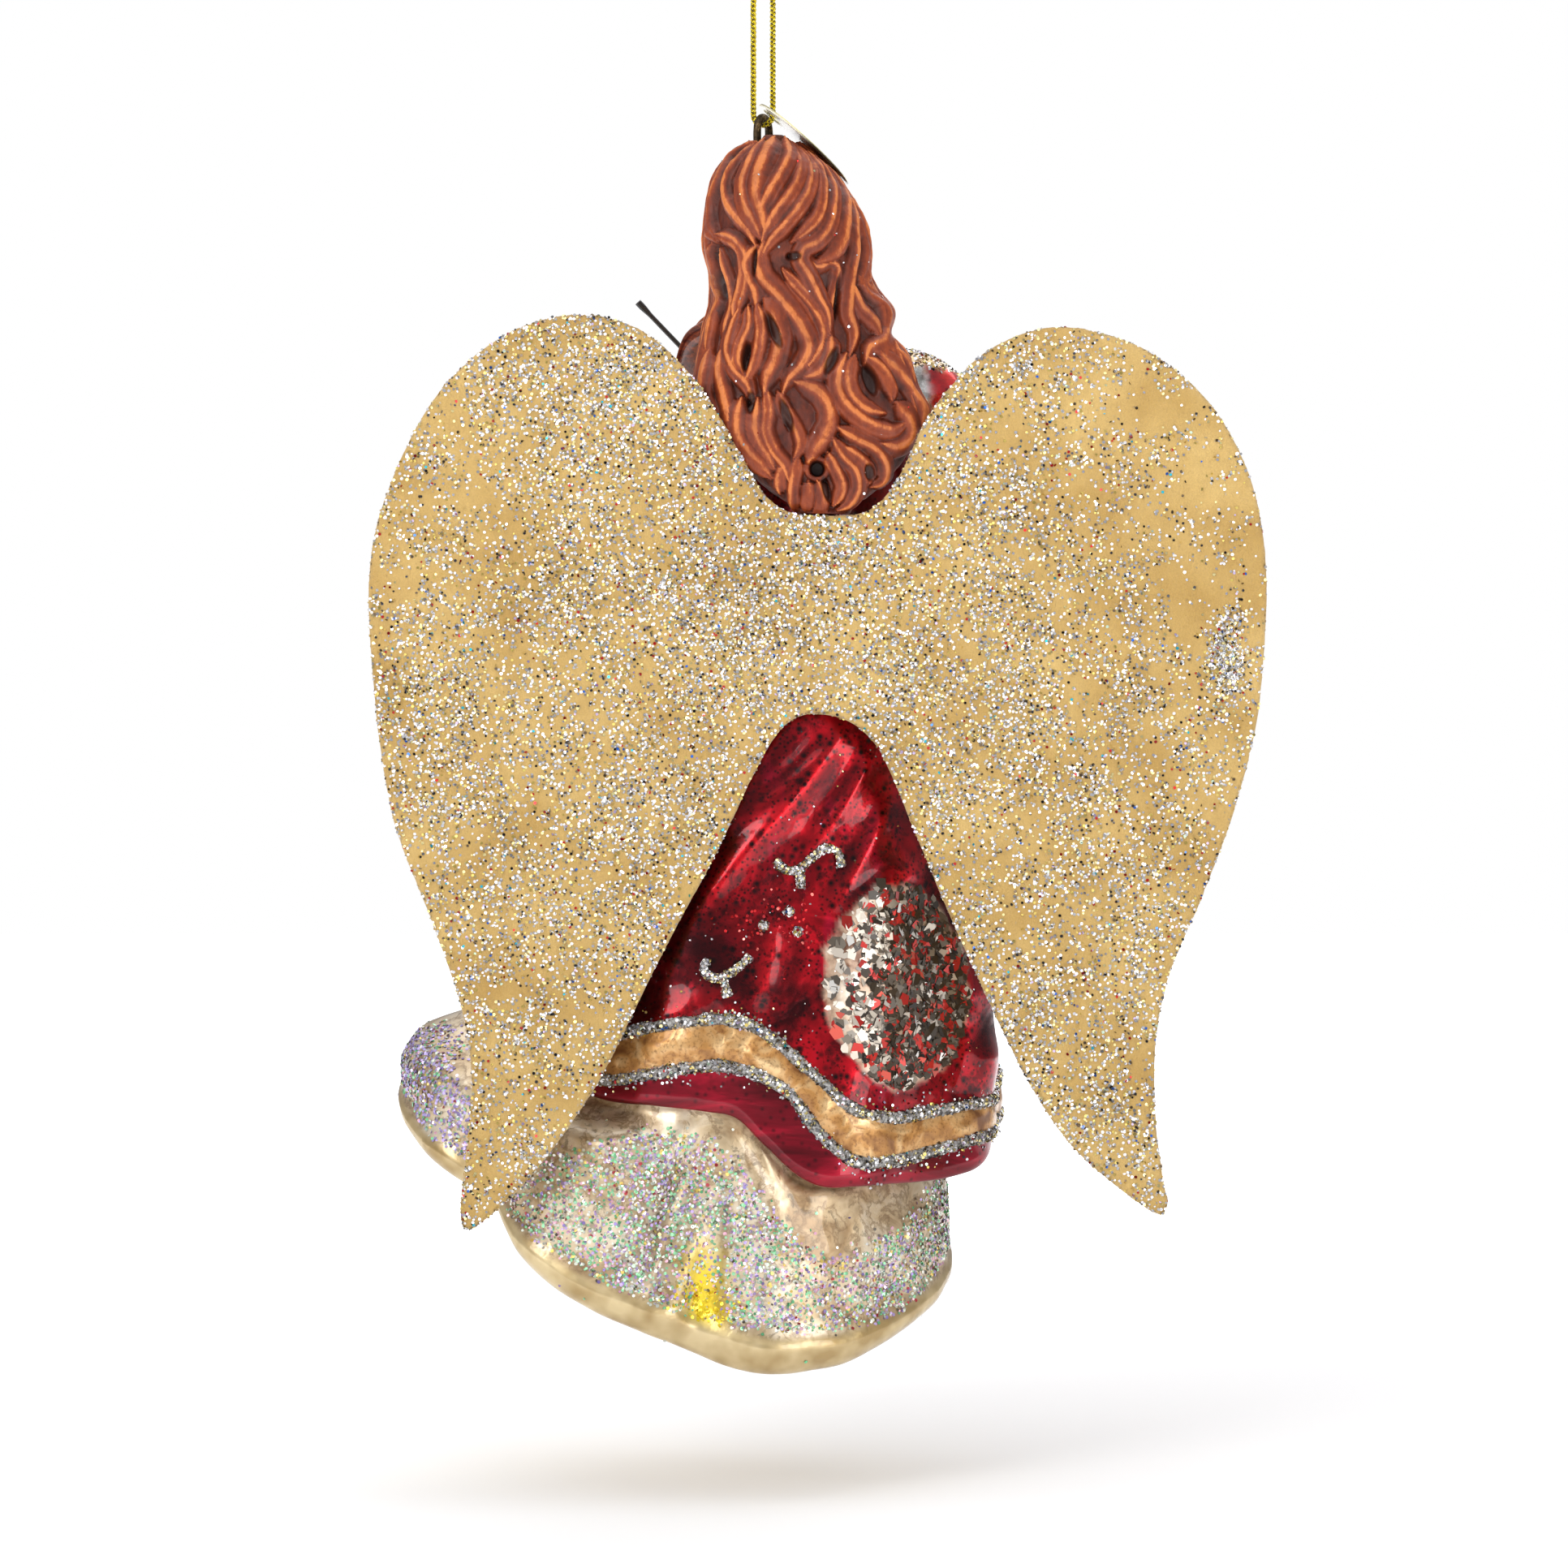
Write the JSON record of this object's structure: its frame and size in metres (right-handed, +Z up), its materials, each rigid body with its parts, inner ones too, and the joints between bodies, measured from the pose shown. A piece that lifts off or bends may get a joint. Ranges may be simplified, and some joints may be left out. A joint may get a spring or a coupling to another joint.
{
  "type": "hanging angel ornament",
  "caption": "Hanging angel figure with felt wings, long wavy hair, a flared glass dress and a small violin, on a wire eye with a knotted cord loop and a tag.",
  "frame": {"origin": "the seat of a hook in the top of the cord loop, just under its knot", "axes": "+Z up along the hanging cord, +Y the way the angel faces, +X to the angel's right hand side"},
  "size_m": [0.0997, 0.0544, 0.1609],
  "materials": {
    "cord": "satin",
    "tag_foil": "gloss",
    "dark_bronze": "satin",
    "skin_resin": "satin",
    "hair_resin": "satin",
    "ruby_glass": "gloss",
    "dark_ruby_glass": "gloss",
    "champagne_glass": "gloss",
    "gold_lacquer": "satin",
    "silver_glitter": "gloss",
    "wing_felt": "matte",
    "glue": "satin",
    "violin_wood": "satin",
    "bridge_wood": "matte",
    "black_paint": "satin",
    "string_wire": "polished"
  },
  "bodies": {
    "cord_loop": {"hanging_cord": "cord", "cord_knot": "cord"},
    "figure": {"eyelet": "dark_bronze", "head": "skin_resin", "hair": "hair_resin", "bodice": "ruby_glass", "gown": "ruby_glass", "gown_trim": "gold_lacquer", "gown_hem": "dark_ruby_glass", "underskirt": "champagne_glass", "collar": "gold_lacquer", "left_sleeve": "ruby_glass", "right_sleeve": "ruby_glass", "left_cuff": "gold_lacquer", "right_cuff": "gold_lacquer", "left_hand": "skin_resin", "right_hand": "skin_resin", "hem_glitter_upper": "silver_glitter", "hem_glitter_lower": "silver_glitter", "scroll_glitter": "silver_glitter", "wings": "wing_felt", "wing_glue": "glue", "violin_body": "violin_wood", "violin_top": "violin_wood", "violin_neck": "violin_wood", "fingerboard": "black_paint", "tailpiece": "black_paint", "bridge": "bridge_wood", "chin_rest": "black_paint", "violin_strings": "string_wire", "tuning_pegs": "black_paint", "bow_stick": "black_paint", "bow_frog": "black_paint"},
    "tag": {"hang_tag": "tag_foil"}
  },
  "joints": [
    {"name": "figure_swing", "type": "hinge", "parent": "cord_loop", "child": "figure", "pos_m": [0, 0, -0.015], "axis": [0.9063, -0.4226, 0], "range_deg": [-20, 20]},
    {"name": "tag_swing", "type": "hinge", "parent": "figure", "child": "tag", "pos_m": [0, -0.00065, -0.0131], "axis": [0.0467, -0.9976, 0.0518], "range_deg": [0, 45]}
  ]
}
